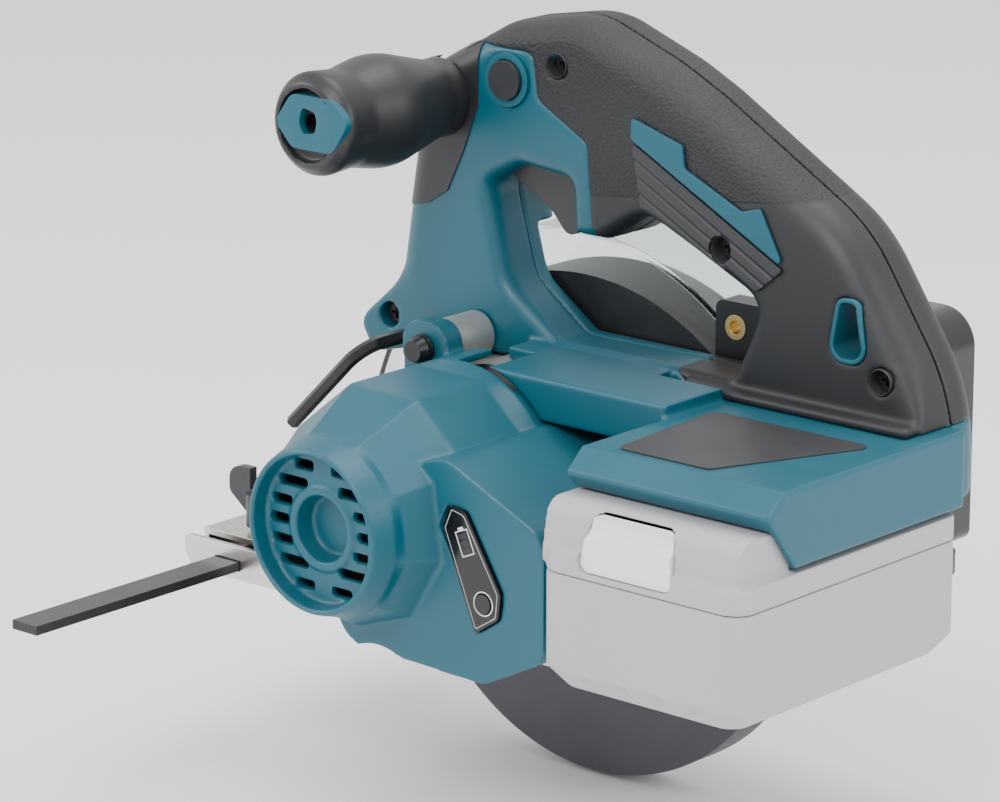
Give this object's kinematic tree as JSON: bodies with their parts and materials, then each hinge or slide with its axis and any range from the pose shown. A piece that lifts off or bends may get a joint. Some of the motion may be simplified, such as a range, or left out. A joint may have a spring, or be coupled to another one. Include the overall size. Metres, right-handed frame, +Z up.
{
  "type": "circular saw",
  "caption": "Cordless metal-cutting circular saw with guarded blade, brushless motor, slide-in battery, D-handle, side grip, pivoting base and guide rule.",
  "frame": {"origin": "on the base's underside, in the handle's parting plane, straight below the spindle", "axes": "+X is the cutting direction, +Y points to the motor side along the spindle, +Z is up"},
  "size_m": [0.2705, 0.227, 0.2574],
  "materials": {
    "teal_shell": "fine moulded grain, satin",
    "teal_trim": "fine moulded grain",
    "grip_rubber": "pebbled soft overmould",
    "dark_plastic": "satin moulded",
    "black_casting": "black painted casting",
    "black_plastic": "smooth moulded",
    "clear_plastic": "clear moulded cover",
    "guard_paint": "dark grey painted",
    "cast_aluminium": "as cast, blasted",
    "bright_steel": "nickel plated pressed sheet",
    "black_steel": "black oxide",
    "machined_steel": "turned and ground",
    "blade_steel": "ground plate with carbide tips",
    "magnet_iron": "plated",
    "copper_winding": "lamination stack with windings",
    "insert_brass": "turned",
    "board_resin": "potted board",
    "battery_grey": "light grey satin",
    "button_white": "smooth",
    "cell_sleeve": "shrink sleeve",
    "display_gloss": "polished"
  },
  "bodies": {
    "frame": {"accent_stripes": "teal_trim", "base_pivot_pin": "machined_steel", "bearing_box": "cast_aluminium", "bearings": "machined_steel", "blade_case": "black_casting", "brass_insert": "insert_brass", "controller_board": "board_resin", "depth_bolt": "machined_steel", "display_panel": "display_gloss", "dust_cover": "clear_plastic", "front_grip": "grip_rubber", "front_grip_cap": "teal_trim", "front_grip_screw": "black_steel", "gear_housing": "cast_aluminium", "guard_circlip": "black_steel", "guard_spring": "black_steel", "handle_screws": "black_steel", "left_handle_shell": "teal_shell", "left_rubber_grip": "grip_rubber", "lock_button_ring": "teal_trim", "motor_housing": "teal_shell", "motor_screws": "black_steel", "motor_stator": "copper_winding", "nameplate": "dark_plastic", "ribbed_panels": "dark_plastic", "right_handle_shell": "teal_shell", "right_rubber_grip": "grip_rubber", "strap_hole_liner": "teal_trim", "switch_body": "dark_plastic", "terminal_block": "dark_plastic", "trigger_pin": "machined_steel"},
    "blade": {"saw_blade": "blade_steel", "spindle": "machined_steel", "spindle_gear": "machined_steel", "inner_flange": "machined_steel", "outer_flange": "machined_steel", "blade_bolt": "machined_steel"},
    "layshaft": {"layshaft": "machined_steel", "layshaft_gear": "machined_steel"},
    "rotor": {"motor_shaft": "machined_steel", "rotor_magnets": "magnet_iron", "cooling_fan": "dark_plastic"},
    "lower_guard": {"lower_guard": "guard_paint", "guard_lever": "black_plastic"},
    "trigger": {"trigger": "dark_plastic"},
    "lock_off": {"lock_off_button": "dark_plastic"},
    "battery": {"battery_lower_case": "battery_grey", "battery_upper_case": "battery_grey", "battery_cells": "cell_sleeve"},
    "battery_release": {"battery_release_button": "button_white"},
    "gauge_button": {"gauge_button": "display_gloss"},
    "base": {"base_plate": "bright_steel", "depth_guide": "bright_steel"},
    "depth_lever": {"depth_lever": "dark_plastic"},
    "guide_rule": {"guide_rule": "black_steel"},
    "guide_screw": {"guide_screw": "dark_plastic"},
    "hex_key": {"hex_key": "black_steel"},
    "dust_box": {"dust_box": "black_plastic"},
    "dust_knob": {"dust_box_knob": "dark_plastic"}
  },
  "joints": [
    {"name": "blade_spin", "type": "hinge", "parent": "frame", "child": "blade", "pos_m": [0, 0, 0.0175], "axis": [0, 1, 0], "continuous": true},
    {"name": "layshaft_spin", "type": "hinge", "parent": "frame", "child": "layshaft", "pos_m": [0.00667, 0, 0.03324], "axis": [0, 1, 0], "continuous": true},
    {"name": "motor_spin", "type": "hinge", "parent": "frame", "child": "rotor", "pos_m": [0, 0, 0.0485], "axis": [0, 1, 0], "continuous": true},
    {"name": "guard_swing", "type": "hinge", "parent": "frame", "child": "lower_guard", "pos_m": [0, 0, 0.0175], "axis": [0, 1, 0], "range_deg": [0, 105], "stiffness_Nm_per_rad": 0.12, "springref_deg": -45.84},
    {"name": "trigger_pull", "type": "hinge", "parent": "frame", "child": "trigger", "pos_m": [0.017, 0, 0.147], "axis": [0, 1, 0], "range_deg": [0, 10], "stiffness_Nm_per_rad": 0.6, "springref_deg": -5.73},
    {"name": "lock_off_press", "type": "slide", "parent": "frame", "child": "lock_off", "axis": [0, 1, 0], "range_m": [-0.003, 0.003], "stiffness_N_per_m": 300},
    {"name": "battery_slide", "type": "slide", "parent": "frame", "child": "battery", "axis": [0, 1, 0], "range_m": [0, 0.11]},
    {"name": "battery_release_press", "type": "slide", "parent": "battery", "child": "battery_release", "axis": [0, 1, 0], "range_m": [-0.003, 0], "stiffness_N_per_m": 400, "springref_m": 0.001},
    {"name": "gauge_press", "type": "slide", "parent": "frame", "child": "gauge_button", "axis": [0, 1, 0], "range_m": [-0.0007, 0], "stiffness_N_per_m": 400, "springref_m": 0.0003},
    {"name": "base_depth", "type": "hinge", "parent": "frame", "child": "base", "pos_m": [0.108, 0, 0.014], "axis": [0, -1, 0], "range_deg": [0, 20]},
    {"name": "depth_lever_turn", "type": "hinge", "parent": "frame", "child": "depth_lever", "pos_m": [-0.068, 0, 0.016], "axis": [0, 1, 0], "range_deg": [0, 55]},
    {"name": "guide_rule_slide", "type": "slide", "parent": "base", "child": "guide_rule", "axis": [0, 1, 0], "range_m": [-0.09, 0.01]},
    {"name": "guide_screw_turn", "type": "hinge", "parent": "base", "child": "guide_screw", "pos_m": [0.0965, 0.042, 0.02], "axis": [0, 0, 1], "range_deg": [-90, 90]},
    {"name": "hex_key_slide", "type": "slide", "parent": "frame", "child": "hex_key", "axis": [0, 1, 0], "range_m": [0, 0.045]},
    {"name": "dust_box_slide", "type": "slide", "parent": "frame", "child": "dust_box", "axis": [-1, 0, 0], "range_m": [0, 0.04]},
    {"name": "dust_knob_turn", "type": "hinge", "parent": "dust_box", "child": "dust_knob", "pos_m": [-0.11, -0.047, 0.025], "axis": [0, 0, 1], "range_deg": [0, 90]}
  ],
  "couplings": [
    {"joint": "layshaft_spin", "follows": "blade_spin", "ratio": -1.9231},
    {"joint": "motor_spin", "follows": "blade_spin", "ratio": 5.1923}
  ]
}
